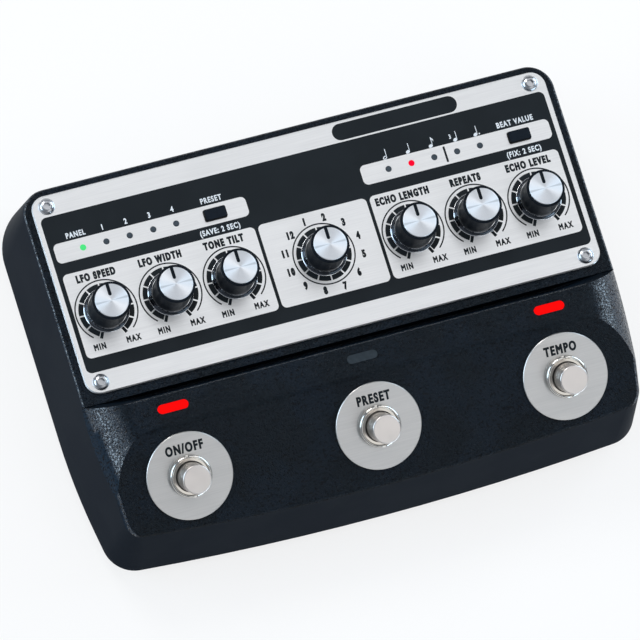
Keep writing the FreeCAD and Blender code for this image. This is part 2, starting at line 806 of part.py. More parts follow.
def pointer(name, grow):
    """The pointer line in a knob's cap, from the rim towards the middle, with a round inner end."""
    x, y = knob_xy(name)
    half = POINTER_W / 2 + grow
    inner_y = y + CAP_R - POINTER_L
    low = HEIGHT - CAP_T
    bar = box(x - half, x + half, inner_y, y + CAP_R + 0.5, low, HEIGHT - 0.02 + 5 * grow)
    return fuse([bar, post(x, inner_y, low, HEIGHT - 0.02 + 5 * grow, half)])


def knob_body(name):
    """The black knob: a straight body with a recess for the cap and a raised pointer line."""
    x, y = knob_xy(name)
    foot = PLATE_TOP + SKIRT_H
    rim = HEIGHT - CAP_PROUD
    profile = [
        (SHAFT_R + 0.02, foot + 0.7),
        (KNOB_CAVITY_R, foot + 0.7),
        (KNOB_CAVITY_R, foot),
        (KNOB_R, foot),
        (KNOB_R, rim - KNOB_EDGE_R),
        rounded_edge(KNOB_R, rim, KNOB_EDGE_R),
        (CAP_R + 0.02, rim),
        (CAP_R + 0.02, HEIGHT - CAP_T),
        (0, HEIGHT - CAP_T),
        (0, HEIGHT - 2.5),
        (SHAFT_R + 0.02, HEIGHT - 2.5),
    ]
    rib = pointer(name, 0.0).common(post(x, y, 0, HEIGHT, CAP_R + 0.02))
    return fuse([spin(profile, x, y), rib])


def knob_cap(name):
    """The spun aluminium disc let into the top of a knob."""
    x, y = knob_xy(name)
    profile = [
        (0, HEIGHT - CAP_T),
        (CAP_R, HEIGHT - CAP_T),
        (CAP_R, HEIGHT - 0.12),
        (CAP_R - 0.15, HEIGHT),
        (0, HEIGHT),
    ]
    return spin(profile, x, y).cut(pointer(name, 0.02))


def standoff_places():
    """Plan positions of the board supports."""
    return [(sx * STANDOFF_X, sy) for sx in (-1, 1) for sy in STANDOFF_Y]


def board(half_length, front_y, rear_y, z0):
    """A circuit board with holes at the standoffs."""
    sheet = box(-half_length, half_length, front_y, rear_y, z0, z0 + BOARD_T)
    return sheet.cut([post(x, y, z0 - 1, z0 + BOARD_T + 1, M3_R + 0.1) for x, y in standoff_places()])


def control_board():
    """The board that carries the pots, the lamps and the small switches."""
    return board(*CONTROL_BOARD_SIZE, CONTROL_BOARD_BOTTOM)


def main_board():
    """The board with the delay line, the processor and the connectors."""
    return board(*MAIN_BOARD_SIZE, MAIN_BOARD_BOTTOM)


def board_standoffs():
    """Short spacers above the control board, and long ones with studs between the two boards."""
    shapes = []
    for x, y in standoff_places():
        short = hexagon(x, y, CONTROL_BOARD_TOP, ROOF_Z, STANDOFF_FLATS)
        shapes.append(short.cut(post(x, y, CONTROL_BOARD_TOP - 1, CONTROL_BOARD_TOP + STUD_H + 0.5, M3_R)))
        stud = post(x, y, CONTROL_BOARD_BOTTOM, CONTROL_BOARD_TOP + STUD_H, M3_R - FIT)
        spacer = fuse([hexagon(x, y, MAIN_BOARD_TOP, CONTROL_BOARD_BOTTOM, STANDOFF_FLATS), stud])
        shapes.append(spacer.cut(post(x, y, MAIN_BOARD_TOP - 1, MAIN_BOARD_TOP + 6, M3_R)))
    return shapes


def board_screws():
    """Screws under the main board."""
    return [pan_screw(x, y, MAIN_BOARD_BOTTOM, STUD_H + 2) for x, y in standoff_places()]


def delay_chip(x, y):
    """A chip in an eight-leg package, a little above the main board."""
    half_l = CHIP_L / 2
    half_w = CHIP_W / 2
    low = MAIN_BOARD_TOP
    body = box(x - half_l, x + half_l, y - half_w, y + half_w, low + CHIP_GAP, low + CHIP_GAP + CHIP_H)
    legs = []
    for leg_x in CHIP_LEG_X:
        for side in (-1, 1):
            left = x + leg_x - CHIP_LEG_W / 2
            front = y + side * (half_w + CHIP_LEG_T / 2) - CHIP_LEG_T / 2
            legs.append(box(left, left + CHIP_LEG_W, front, front + CHIP_LEG_T, low, low + CHIP_LEG_H))
    return fuse([body] + legs)


def delay_chips():
    """Eight bucket-brigade delay chips in two rows."""
    return [delay_chip(x, y) for y in CHIP_Y for x in CHIP_X]


def processor_chip():
    """The controller that sets the delay clock."""
    half = PROCESSOR_L / 2
    top = MAIN_BOARD_TOP + PROCESSOR_H
    body = box(PROCESSOR_X - half, PROCESSOR_X + half, -half, half, MAIN_BOARD_TOP, top)
    return body.makeChamfer(0.4, top_edges(body, top))


def capacitors():
    """A row of electrolytic capacitors."""
    top = MAIN_BOARD_TOP + CAPACITOR_H
    profile = [
        (0, MAIN_BOARD_TOP),
        (CAPACITOR_R, MAIN_BOARD_TOP),
        (CAPACITOR_R, top - 0.4),
        (CAPACITOR_R - 0.4, top),
        (0, top),
    ]
    return [spin(profile, CAPACITOR_X + CAPACITOR_PITCH * i, CAPACITOR_Y) for i in range(CAPACITOR_COUNT)]


def ribbon_cable():
    """The flat cable and its two plugs between the boards."""
    low = MAIN_BOARD_TOP
    high = CONTROL_BOARD_BOTTOM

    def slab(length, width, z0, z1):
        hx = length / 2
        hy = width / 2
        return box(CABLE_X - hx, CABLE_X + hx, CABLE_Y - hy, CABLE_Y + hy, z0, z1)

    lower_plug = slab(PLUG_L, PLUG_W, low, low + PLUG_H)
    upper_plug = slab(PLUG_L, PLUG_W, high - PLUG_H, high)
    return fuse([lower_plug, upper_plug, slab(CABLE_L, CABLE_T, low + PLUG_H, high - PLUG_H)])


def socket(x, z, size, nose_r, nose_end, bore_r, bore_l):
    """A socket on the main board: its body behind the pocket wall, a round nose through it, and a bore."""
    width, depth, height = size
    half = width / 2
    body = box(x - half, x + half, POCKET_Y - depth, POCKET_Y, MAIN_BOARD_TOP, MAIN_BOARD_TOP + height)
    nose = rod(x, z, POCKET_Y, nose_end, nose_r)
    return fuse([body, nose]).cut(rod(x, z, POCKET_Y - bore_l, DEPTH, bore_r))


def phone_jacks():
    """Four quarter-inch jack sockets with threaded bushes."""
    end = CONNECTOR_Y + JACK_PROUD
    return [socket(x, JACK_Z, JACK_BODY, JACK_BUSH_R, end, JACK_BORE_R, JACK_BORE_L) for x in JACK_X]


def jack_nuts():
    """Washer-faced nuts on the jack bushes."""
    nuts = []
    for x in JACK_X:
        ring = hexagon(0, 0, JACK_WASHER_H, JACK_NUT_H, 2 * JACK_NUT_R * 0.93)
        ring = ring.fuse(Part.makeCylinder(JACK_NUT_R + 0.4, JACK_WASHER_H)).removeSplitter()
        ring = ring.cut(Part.makeCylinder(JACK_BUSH_R + FIT, 10, Vector(0, 0, -2)))
        ring.Placement = Placement(Vector(x, CONNECTOR_Y, JACK_Z), Rotation(X_AXIS, -90))
        nuts.append(ring)
    return nuts


def mini_jacks():
    """Two 3.5 mm sockets."""
    end = CONNECTOR_Y + NOSE_PROUD
    return [socket(x, MINI_Z, MINI_BODY, MINI_NOSE_R, end, MINI_BORE_R, MINI_BORE_L) for x in MINI_X]


def power_inlet():
    """The round power socket with its centre pin."""
    end = CONNECTOR_Y + NOSE_PROUD
    shell = socket(POWER_X, POWER_Z, POWER_BODY, POWER_NOSE_R, end, POWER_BORE_R, POWER_BORE_L)
    pin = rod(POWER_X, POWER_Z, POCKET_Y - POWER_BORE_L - 1, CONNECTOR_Y - POWER_PIN_SUNK, POWER_PIN_R)
    return fuse([shell, pin])


def all_parts():
    """Every node by name; a list is a group of separate solids in one node."""
    parts = {
        "upper_case": upper_case(),
        "bottom_plate": bottom_plate(),
        "bottom_screws": bottom_screws(),
        "rubber_feet": rubber_feet(),
        "panel_plate": panel_plate(),
        "panel_screws": panel_screws(),
        "status_lenses": [on_strip(lens_outline(0.0, LENS_DEPTH, LENS_PROUD), x) for x in SWITCH_X],
        "panel_leds": panel_leds(),
        "footswitch_washers": [on_deck(footswitch_washer(), x) for x in SWITCH_X],
        "footswitch_nuts": [on_deck(footswitch_nut(), x) for x in SWITCH_X],
        "footswitch_bodies": [on_deck(footswitch_body(), x) for x in SWITCH_X],
        "tact_switches": tact_switches(),
        "potentiometers": potentiometers(),
        "selector_switch": selector_switch(),
        "pot_nuts": pot_nuts(),
        "control_board": control_board(),
        "main_board": main_board(),
        "board_standoffs": board_standoffs(),
        "board_screws": board_screws(),
        "delay_chips": delay_chips(),
        "processor_chip": processor_chip(),
        "capacitors": capacitors(),
        "ribbon_cable": ribbon_cable(),
        "phone_jacks": phone_jacks(),
        "jack_nuts": jack_nuts(),
        "mini_jacks": mini_jacks(),
        "power_inlet": power_inlet(),
    }
    for side, x in zip(("left", "middle", "right"), SWITCH_X):
        parts[side + "_plunger"] = on_deck(plunger(), x)
    for name, u in BUTTONS.items():
        parts[name + "_button"] = button_cap(u)
    for name in KNOBS:
        parts[name + "_shaft"] = knob_shaft(name)
        parts[name + "_knob"] = knob_body(name)
        parts[name + "_skirt"] = knob_skirt(name)
        parts[name + "_cap"] = knob_cap(name)
    return parts


os.makedirs("parts", exist_ok=True)
for node, shape in all_parts().items():
    solid = Part.makeCompound(shape) if isinstance(shape, list) else shape
    solid.exportStep("parts/" + node + ".step")
    b = solid.BoundBox
    extent = [round(v, 2) for v in (b.XMin, b.XMax, b.YMin, b.YMax, b.ZMin, b.ZMax)]
    print(node, len(solid.Solids), "solids", round(solid.Volume, 1), "mm3", solid.isValid(), extent)
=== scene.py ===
"""Looks of an analog delay pedal: finishes, panel printing, lamps and a plain studio.

Metres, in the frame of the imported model. Flat printing is drawn in millimetres and scaled once when it
is laid down.
"""
import json
import math

import bmesh
import bpy
from mathutils import Matrix, Vector


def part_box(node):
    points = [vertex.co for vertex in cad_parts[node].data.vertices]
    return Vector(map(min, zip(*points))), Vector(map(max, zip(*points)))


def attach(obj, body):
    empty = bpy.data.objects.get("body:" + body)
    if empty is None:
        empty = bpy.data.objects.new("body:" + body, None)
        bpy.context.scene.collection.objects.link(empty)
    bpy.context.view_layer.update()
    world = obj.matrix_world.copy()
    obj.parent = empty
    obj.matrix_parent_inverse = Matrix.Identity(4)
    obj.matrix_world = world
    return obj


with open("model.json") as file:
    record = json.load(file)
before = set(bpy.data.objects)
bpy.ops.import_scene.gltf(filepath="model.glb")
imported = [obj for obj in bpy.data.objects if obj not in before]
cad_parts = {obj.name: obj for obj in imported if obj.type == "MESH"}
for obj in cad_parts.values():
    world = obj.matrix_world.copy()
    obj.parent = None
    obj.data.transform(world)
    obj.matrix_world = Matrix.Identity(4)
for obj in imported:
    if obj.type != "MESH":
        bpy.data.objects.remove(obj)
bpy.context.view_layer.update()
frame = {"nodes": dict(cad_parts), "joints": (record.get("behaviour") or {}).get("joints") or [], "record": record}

MM = 0.001
NODES = frame["nodes"]
JOINTS = {joint["name"]: joint for joint in frame["joints"]}

# Camera of the photograph: where it looks, how far away it stands and how it is turned
CAMERA_TARGET = Vector((-0.00827, -0.00491, 0.040))
CAMERA_DISTANCE = 2.6069
CAMERA_YAW = -48.487
CAMERA_TILT = 18.289
CAMERA_ROLL = 32.379
SENSOR = 36.0
LENS = 450.4

# The point that the lamps face, and how much of the floor's seen colour is plain white
LIT_MIDDLE = Vector((0.0, 0.0, 0.03))
WHITE_SHARE = 0.8

# The plate that carries the panel printing, and how thick the ink is
PLATE_LOW, PLATE_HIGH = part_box("panel_plate")
PLATE_MIDDLE = Vector(((PLATE_LOW.x + PLATE_HIGH.x) / 2, (PLATE_LOW.y + PLATE_HIGH.y) / 2, PLATE_HIGH.z))
INK_T = 0.03

# Black printed field and the bare windows in it, as u0, u1, v0, v1 from the middle of the plate
FIELD = (-87.5, 87.5, -27.0, 27.0)
FIELD_R = 2.0
WINDOW_R = 1.75
KNOB_WINDOWS = ((-86.0, -19.9, -22.2, 6.9), (-18.8, 18.8, -22.2, 6.9), (19.9, 86.0, -22.2, 6.9))
LAMP_WINDOWS = ((-86.0, -19.9, 10.8, 17.6), (19.9, 86.0, 10.8, 17.6))
BADGE = (14.7, 58.2, 27.55, 33.25)
DIVIDER = (48.95, 49.65, 11.6, 17.0)

# Dials: blocks round each knob inside a thin ring, and a bar at each end of a pot's range.
# Angles are in degrees, counter-clockwise from the plate's right.
KNOB_NAMES = ("speed", "width", "tone", "selector", "time", "repeat", "level")
DIAL_V = -7.9
RING_R = 10.3
RING_W = 0.45
BLOCK_IN = 7.4
BLOCK_OUT = 9.2
BLOCK_GAP = 0.5
END_BAR_W = 1.0
END_BAR_OUT = 9.7
END_BARS = (243.5, 296.5)
OPEN_ARC = (-48.5, 229.0)
OPEN_BLOCKS = (-60.0, 240.0)
STEP = 30.0

# Lettering: share of the type size that a capital fills, and styles as sideways stretch, fattening
# and spacing
CAP_SHARE = 0.679
BOLD = (0.63, 0.09, 1.38)
SCALE = (0.68, 0.065, 1.32)
LABEL = (0.70, 0.07, 1.28)
PLAIN = (0.75, 0.05, 1.22)

# Lettering: capital heights, and the lines and places that words are centred on
TITLE_H = 2.75
SCALE_H = 2.2
SMALL_H = 1.95
SWITCH_H = 3.3
TITLE_V = 4.35
SCALE_V = -19.1
MIN_SHIFT = -5.6
MAX_SHIFT = 5.9
NUMBER_COUNT = 12
FIRST_NUMBER_ANGLE = 105.0
NUMBER_RING_U = 13.1
NUMBER_RING_V = 12.4
LAMP_LABEL_V = 19.3
BUTTON_NOTE_V = 8.75
TITLES = {
    "speed": "LFO SPEED",
    "width": "LFO WIDTH",
    "tone": "TONE TILT",
    "time": "ECHO LENGTH",
    "repeat": "REPEATS",
    "level": "ECHO LEVEL",
}
LEFT_LAMPS = {"PANEL": -77.6, "1": -68.4, "2": -60.4, "3": -52.3, "4": -44.4}
RIGHT_LAMPS = (29.3, 37.3, 45.3, 53.3, 61.3)
BUTTON_LABELS = {"PRESET": -31.0, "BEAT VALUE": 75.0}
BUTTON_NOTES = {"(SAVE: 2 SEC)": -31.0, "(FIX: 2 SEC)": 75.0}
SWITCH_LABELS = {"left": "ON/OFF", "middle": "PRESET", "right": "TEMPO"}
LABEL_UP_SLOPE = 9.3

# Note symbols: half axes and tilt of the head and of an open head's hole, the stem, the flag and the dot
NOTE_HEAD = (0.78, 0.55)
NOTE_HOLE = (0.5, 0.26)
NOTE_TILT = 25.0
STEM_U = 0.62
STEM_LEFT = -0.1
STEM_RIGHT = 0.12
STEM_FOOT = 0.28
STEM_TOP = 2.9
FLAG = ((0.1, 2.9), (0.75, 2.05), (0.72, 1.25), (0.5, 1.75), (0.1, 2.15))
DOT_SHIFT = 1.35
DOT_R = 0.26

# How far below its line a note's head lies, the notes over the right-hand lamps as a sideways shift and
# what each one has, and the triplet's 3 as a shift from its lamp and a share of the type's height
NOTE_DROP = 1.05
NOTE_VALUES = (
    (0.0, {"hollow": True}),
    (0.0, {}),
    (0.0, {"flag": True}),
    (0.6, {}),
    (-0.3, {"dot": True}),
)
TRIPLET_LAMP = 3
TRIPLET_SHIFT = (-0.9, 0.4)
TRIPLET_SHARE = 0.8

# How far the bare metal of a footswitch bush reaches below the washer's face
BUSH_DEPTH = 3.2

# Edges of the case above this height and behind this line are rubbed bright
WORN_Z = PLATE_HIGH.z - 2 * MM
WORN_Y = PLATE_LOW.y - 11 * MM

# Ranges of the case's normal over which a wall becomes a top face and a top face becomes a shoulder, how
# far the left shoulder's shine reaches outwards, and where a rounded edge begins and ends
TOP_NZ = (0.24, 0.42)
SHOULDER_NX = (0.22, 0.46)
OUTER_NX = (-0.78, -0.60)
EDGE_FROM_NZ = (0.50, 0.60)
EDGE_TO_NZ = (0.84, 0.90)

# The case's leather, in wrinkles, pits, skin and clouds per metre, and how deep it is
WRINKLES = 1150.0
PITS = 1300.0
SKIN = 2600.0
CLOUDS = 60.0
LEATHER_DEPTH = 0.15 * MM

# Where the painted highlight on a knob skirt's lip ends and the painted highlight on its crest begins, as shares
# of the skirt's height
LIP_HIGHLIGHT_END = (0.10, 0.17)
CREST_HIGHLIGHT_START = (0.70, 0.82)


def link(obj):
    """Puts a new object into the scene."""
    bpy.context.scene.collection.objects.link(obj)
    return obj


class Paint:
    """A material under construction: short calls add nodes and join them."""

    def __init__(self, name, color, roughness, metallic=0.0, specular=0.5):
        self.material = bpy.data.materials.new(name)
        self.material.use_nodes = True
        self.tree = self.material.node_tree
        self.shader = self.tree.nodes["Principled BSDF"]
        self.shader.inputs["Base Color"].default_value = (*color, 1.0)
        self.shader.inputs["Roughness"].default_value = roughness
        self.shader.inputs["Metallic"].default_value = metallic
        self.shader.inputs["Specular IOR Level"].default_value = specular

    def add(self, kind, settings=None, **inputs):
        """A node; an input goes by its name, or by i and its number, and gets a constant or an output."""
        node = self.tree.nodes.new(kind)
        for key, value in (settings or {}).items():
            setattr(node, key, value)
        for key, value in inputs.items():
            numbered = key[0] == "i" and key[1:].isdigit()
            self.feed(node.inputs[int(key[1:]) if numbered else key], value)
        return node

    def feed(self, socket, value):
        """Sets a socket to a constant or joins an output to it."""
        if isinstance(value, bpy.types.NodeSocket):
            self.tree.links.new(value, socket)
        else:
            socket.default_value = value

    def set(self, name, value):
        """Sets or joins one of the shader's own sockets."""
        self.feed(self.shader.inputs[name], value)
        return self

    def place(self, scale=(1.0, 1.0, 1.0)):
        """Coordinates on the piece in metres, stretched by scale."""
        coordinates = self.add("ShaderNodeTexCoord").outputs["Object"]
        return self.add("ShaderNodeMapping", Vector=coordinates, Scale=scale).outputs[0]

    def noise(self, where, scale, detail=3.0, roughness=0.55):
        """Cloudy noise from 0 to 1."""
        node = self.add("ShaderNodeTexNoise", Vector=where, Scale=scale, Detail=detail, Roughness=roughness)
        return node.outputs["Fac"]

    def math(self, operation, a, b=0.0):
        """One arithmetic step."""
        return self.add("ShaderNodeMath", {"operation": operation}, i0=a, i1=b).outputs[0]

    def spread(self, value, low, high, to_low=0.0, to_high=1.0):
        """Maps a range smoothly onto another."""
        node = self.add("ShaderNodeMapRange", {"interpolation_type": "SMOOTHSTEP"},
                        i0=value, i1=low, i2=high, i3=to_low, i4=to_high)
        return node.outputs[0]

    def mix(self, share, a, b):
        """Blends two colours."""
        node = self.add("ShaderNodeMix", {"data_type": "RGBA"}, i0=share)
        self.feed(node.inputs[6], a)
        self.feed(node.inputs[7], b)
        return node.outputs[2]

    def bump(self, height, distance, strength=1.0, under=None):
        """Relief of a depth in metres, laid over another if one is given."""
        node = self.add("ShaderNodeBump", Height=height, Distance=distance, Strength=strength)
        if under is not None:
            self.feed(node.inputs["Normal"], under)
        return node.outputs["Normal"]

    def drift(self, color, other, where, scale, low=0.4, high=0.6):
        """Lets the colour drift between two close tones."""
        share = self.spread(self.noise(where, scale), low, high)
        return self.set("Base Color", self.mix(share, (*color, 1), (*other, 1)))


def case_paint(name):
    """Powder coat: leathery on the top faces and smooth on the walls, with rubbed shoulders and edges and painted
    light in its colour.
    """
    # Tones: the wall tone is a painted lit tone, bluer and darker than the top faces; the shoulder tone is a
    # painted bluish sheen; the pit tone is painted shade
    top_tone = (0.0046, 0.0077, 0.0112)
    painted_wall_tone = (0.0034, 0.0078, 0.0142)
    cloud_tone = (0.0055, 0.0100, 0.0162)
    painted_shoulder_sheen = (0.0080, 0.0190, 0.0330)
    painted_pit_shade = (0.0018, 0.0030, 0.0050)
    paint = Paint(name, top_tone, 0.5, specular=0.02)
    where = paint.place()
    normal = paint.add("ShaderNodeNewGeometry").outputs["Normal"]
    facing = paint.add("ShaderNodeSeparateXYZ", Vector=normal).outputs
    top = paint.spread(facing["Z"], *TOP_NZ)
    rise = paint.spread(paint.math("ABSOLUTE", facing["X"]), *SHOULDER_NX)
    shoulder = paint.math("MULTIPLY", rise, paint.spread(facing["X"], *OUTER_NX))

    # Relief: wrinkles and pits on the top faces, over a fine skin everywhere
    lines = paint.math("ABSOLUTE", paint.math("SUBTRACT", paint.noise(where, WRINKLES, 1.0, 0.5), 0.5))
    ridges = paint.spread(lines, 0.0, 0.12)
    pits = paint.spread(paint.noise(where, PITS, 1.0, 0.4), 0.32, 0.48)
    leather = paint.math("ADD", ridges, paint.math("MULTIPLY", pits, 0.5))
    grained = paint.math("MULTIPLY", leather, paint.spread(top, 0.0, 1.0, 0.04, 1.0))
    skin = paint.noise(where, SKIN, 2.0)
    relief = paint.bump(skin, 0.02 * MM, 0.4, paint.bump(grained, LEATHER_DEPTH, 1.0))
    paint.set("Normal", relief)
    paint.set("Coat Normal", relief)

    # Shine: a clear coat where the shoulders and the upper edges are rubbed
    edge = paint.math("MULTIPLY", paint.spread(facing["Z"], *EDGE_FROM_NZ),
                      paint.spread(facing["Z"], *EDGE_TO_NZ, 1.0, 0.0))
    at = paint.add("ShaderNodeSeparateXYZ", Vector=where).outputs
    raised = paint.spread(at["Z"], WORN_Z - 3 * MM, WORN_Z, 0.0, 0.8)
    behind = paint.spread(at["Y"], WORN_Y - 2 * MM, WORN_Y)
    worn = paint.math("MULTIPLY", edge, paint.math("MULTIPLY", raised, behind))
    rubbed = paint.math("MAXIMUM", shoulder, worn)
    shine = paint.math("MULTIPLY", rubbed, paint.spread(leather, 0.2, 1.2, 0.2, 1.0))
    paint.set("Coat Weight", paint.math("MULTIPLY", top, paint.spread(shine, 0.0, 1.0, 0.1, 1.0)))
    paint.set("Coat IOR", 1.8)
    paint.set("Coat Roughness", 0.22)

    # Colour: a painted bluer tone on the walls against the top faces, clouded, with a painted bluish sheen on the
    # shoulders and painted shade in the pits
    tone = paint.mix(top, (*painted_wall_tone, 1), (*top_tone, 1))
    clouds = paint.spread(paint.noise(where, CLOUDS), 0.4, 0.6)
    tone = paint.mix(clouds, tone, (*cloud_tone, 1))
    # Painted sheen: a bluish tone on the shoulders standing in for their highlight
    tone = paint.mix(paint.math("MULTIPLY", rise, top), tone, (*painted_shoulder_sheen, 1))
    # Painted shade: the pits darken as shade falls in them
    hollow = paint.math("MULTIPLY", top, paint.math("SUBTRACT", 1.0, pits))
    return paint.set("Base Color", paint.mix(hollow, tone, (*painted_pit_shade, 1))).material


def brushed(name, color, other, roughness, anisotropic, across):
    """Metal brushed along X: fine faint scratches; the light fans out along the direction across them."""
    paint = Paint(name, color, roughness, 1.0)
    lines = paint.noise(paint.place(scale=(55.0, 3000.0, 3000.0)), 1.0, 2.0, 0.6)
    broad = paint.noise(paint.place(scale=(12.0, 90.0, 90.0)), 1.0, 2.0)
    paint.set("Roughness", paint.spread(lines, 0.25, 0.75, roughness * 0.88, roughness * 1.12))
    share = paint.math("ADD", paint.math("MULTIPLY", lines, 0.7), paint.math("MULTIPLY", broad, 0.3))
    paint.set("Base Color", paint.mix(paint.spread(share, 0.3, 0.7), (*color, 1), (*other, 1)))
    paint.set("Normal", paint.bump(lines, 0.006 * MM, 0.5))
    paint.set("Anisotropic", anisotropic)
    x, y, z = across
    return paint.set("Tangent", paint.add("ShaderNodeCombineXYZ", X=x, Y=y, Z=z).outputs[0]).material


def flared(name, dark, bright, roughness):
    """A mirror-polished flare: a painted highlight on the lip and crest over a painted dark reflection in the
    trough between them.
    """
    paint = Paint(name, dark, roughness, 1.0)
    low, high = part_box("speed_skirt")
    where = paint.place()
    height = paint.add("ShaderNodeSeparateXYZ", Vector=where).outputs["Z"]
    share = paint.math("DIVIDE", paint.math("SUBTRACT", height, low.z), high.z - low.z)
    lip_highlight = paint.spread(share, *LIP_HIGHLIGHT_END, 1.0, 0.0)
    crest_highlight = paint.spread(share, *CREST_HIGHLIGHT_START)
    smear = paint.noise(where, 160.0, 3.0)
    paint.set("Roughness", paint.spread(smear, 0.35, 0.7, roughness, roughness * 1.5))
    # Painted reflection: dark in the trough, with painted highlights on the lip and crest
    tone = paint.mix(paint.math("MAXIMUM", lip_highlight, crest_highlight), (*dark, 1), (*bright, 1))
    return paint.set("Base Color", tone).material


def spun(name, color, roughness, anisotropic):
    """Metal turned about Z: fine circular grooves, with painted shade of its reflection as two darker sectors and
    a thin dark seam along X.
    """
    paint = Paint(name, color, roughness, 1.0)
    generated = paint.add("ShaderNodeTexCoord").outputs["Generated"]
    flat = paint.add("ShaderNodeVectorMath", {"operation": "MULTIPLY_ADD"}, i0=generated, i1=(1, 1, 0),
                     i2=(-0.5, -0.5, 0)).outputs[0]
    radius = paint.add("ShaderNodeVectorMath", {"operation": "LENGTH"}, i0=flat).outputs["Value"]
    rings = paint.add("ShaderNodeTexNoise", {"noise_dimensions": "1D"},
                      W=paint.math("MULTIPLY", radius, 90.0), Detail=4.0, Roughness=0.7).outputs["Fac"]
    dull = tuple(channel * 0.92 for channel in color)
    grooved = paint.mix(paint.spread(rings, 0.35, 0.65), (*color, 1), (*dull, 1))
    # Painted shade: two darker sectors and a thin dark seam along X stand in for the dark parts of the turned
    # metal's reflection
    parts = paint.add("ShaderNodeSeparateXYZ", Vector=flat)
    sideways = paint.math("DIVIDE", parts.outputs["Y"], paint.math("ADD", radius, 0.001))
    painted_seam = paint.spread(paint.math("ABSOLUTE", sideways), 0.02, 0.13, 0.72, 1.0)
    swing = paint.math("MULTIPLY", parts.outputs["X"], parts.outputs["Y"])
    fan = paint.math("DIVIDE", swing, paint.math("ADD", paint.math("MULTIPLY", radius, radius), 0.001))
    painted_sectors = paint.spread(fan, -0.35, 0.45, 0.88, 1.0)
    shade = paint.math("MULTIPLY", painted_seam, painted_sectors)
    paint.set("Base Color", paint.mix(shade, (0.0, 0.0, 0.0, 1), grooved))
    paint.set("Roughness", paint.spread(rings, 0.3, 0.7, roughness * 0.9, roughness * 1.1))
    paint.set("Normal", paint.bump(rings, 0.003 * MM, 0.4))
    paint.set("Anisotropic", anisotropic)
    paint.set("Anisotropic Rotation", 0.25)
    tangent = paint.add("ShaderNodeTangent", {"direction_type": "RADIAL", "axis": "Z"}).outputs[0]
    return paint.set("Tangent", tangent).material


def keycap(name, face, side):
    """A small moulded key: a satin face, with its flanks painted dark as shade."""
    paint = Paint(name, face, 0.4, specular=0.04)
    where = paint.place()
    normal = paint.add("ShaderNodeNewGeometry").outputs["Normal"]
    upright = paint.add("ShaderNodeSeparateXYZ", Vector=normal).outputs["Z"]
    grain = paint.noise(where, 900.0, 3.0, 0.6)
    pale = tuple(channel * 1.2 for channel in face)
    tone = paint.mix(paint.spread(grain, 0.35, 0.65), (*face, 1), (*pale, 1))
    paint.set("Normal", paint.bump(grain, 0.004 * MM, 0.5))
    # Painted shade: the flanks, facing sideways, take the dark side colour
    return paint.set("Base Color", paint.mix(paint.spread(upright, 0.75, 0.98), (*side, 1), tone)).material


def polished(name, color, roughness, wear=0.35, hairlines=0.001 * MM):
    """Plated or polished metal with faint smears and hairlines."""
    paint = Paint(name, color, roughness, 1.0)
    where = paint.place()
    smear = paint.noise(where, 160.0, 3.0)
    hair = paint.noise(paint.place(scale=(200.0, 2600.0, 900.0)), 1.0, 2.0)
    paint.set("Roughness", paint.spread(smear, 0.35, 0.7, roughness, roughness * (1 + wear * 3)))
    paint.set("Normal", paint.bump(hair, hairlines, 0.3))
    dull = tuple(channel * (1 - wear / 3) for channel in color)
    return paint.drift(color, dull, where, 90.0).material


def moulded(name, color, other, roughness, grain=900.0, depth=0.03 * MM, specular=0.4):
    """Moulded plastic or rubber with a fine spark-eroded texture."""
    paint = Paint(name, color, roughness, specular=specular)
    where = paint.place()
    fine = paint.noise(where, grain, 3.0, 0.6)
    paint.set("Roughness", paint.spread(fine, 0.3, 0.7, roughness * 0.85, min(1.0, roughness * 1.15)))
    paint.set("Normal", paint.bump(fine, depth, 0.7))
    return paint.drift(color, other, where, grain / 4).material


def switch_parts(name):
    """Blue moulded housings whose threaded bushes are bare metal where they pass through the deck."""
    plastic = (0.02, 0.05, 0.16)
    paint = Paint(name, plastic, 0.5)
    where = paint.place()
    deck = Vector(JOINTS["left_stomp"]["axis"])
    face = washer_face("left").dot(deck)
    along = paint.add("ShaderNodeVectorMath", {"operation": "DOT_PRODUCT"}, i0=where, i1=tuple(deck))
    metal = paint.math("GREATER_THAN", along.outputs["Value"], face - BUSH_DEPTH * MM)
    fine = paint.noise(where, 900.0, 3.0, 0.6)
    paint.set("Metallic", metal)
    paint.set("Roughness", paint.spread(metal, 0.0, 1.0, 0.5, 0.14))
    paint.set("Normal", paint.bump(fine, 0.008 * MM, 0.5))
    tone = paint.mix(paint.spread(fine, 0.4, 0.6), (*plastic, 1), (0.03, 0.06, 0.19, 1))
    return paint.set("Base Color", paint.mix(metal, tone, (0.66, 0.62, 0.56, 1))).material


def glowing_lens(name, unlit, lamps, half_width):
    """Clear plastic over lamps; lamps holds the place along X and the glow of each one that is on."""
    paint = Paint(name, unlit, 0.22, specular=0.05)
    where = paint.place()
    along = paint.add("ShaderNodeSeparateXYZ", Vector=where).outputs["X"]
    glow = (0.0, 0.0, 0.0, 1.0)
    total = 0.0
    for x, color in lamps:
        near = paint.add("ShaderNodeMath", {"operation": "COMPARE"}, i0=along, i1=x, i2=half_width)
        near = near.outputs[0]
        glow = paint.mix(near, glow, (*color, 1))
        total = paint.math("ADD", total, near)
    frost = paint.noise(where, 700.0, 2.0)
    pale = tuple(channel * 1.25 for channel in unlit)
    tone = paint.mix(paint.spread(frost, 0.3, 0.7), (*unlit, 1), (*pale, 1))
    paint.set("Base Color", paint.mix(total, tone, (0.0, 0.0, 0.0, 1)))
    paint.set("Roughness", paint.spread(frost, 0.2, 0.8, 0.18, 0.3))
    paint.set("Emission Color", glow)
    paint.set("Emission Strength", total)
    paint.set("Normal", paint.bump(frost, 0.01 * MM, 0.3))
    return paint.material


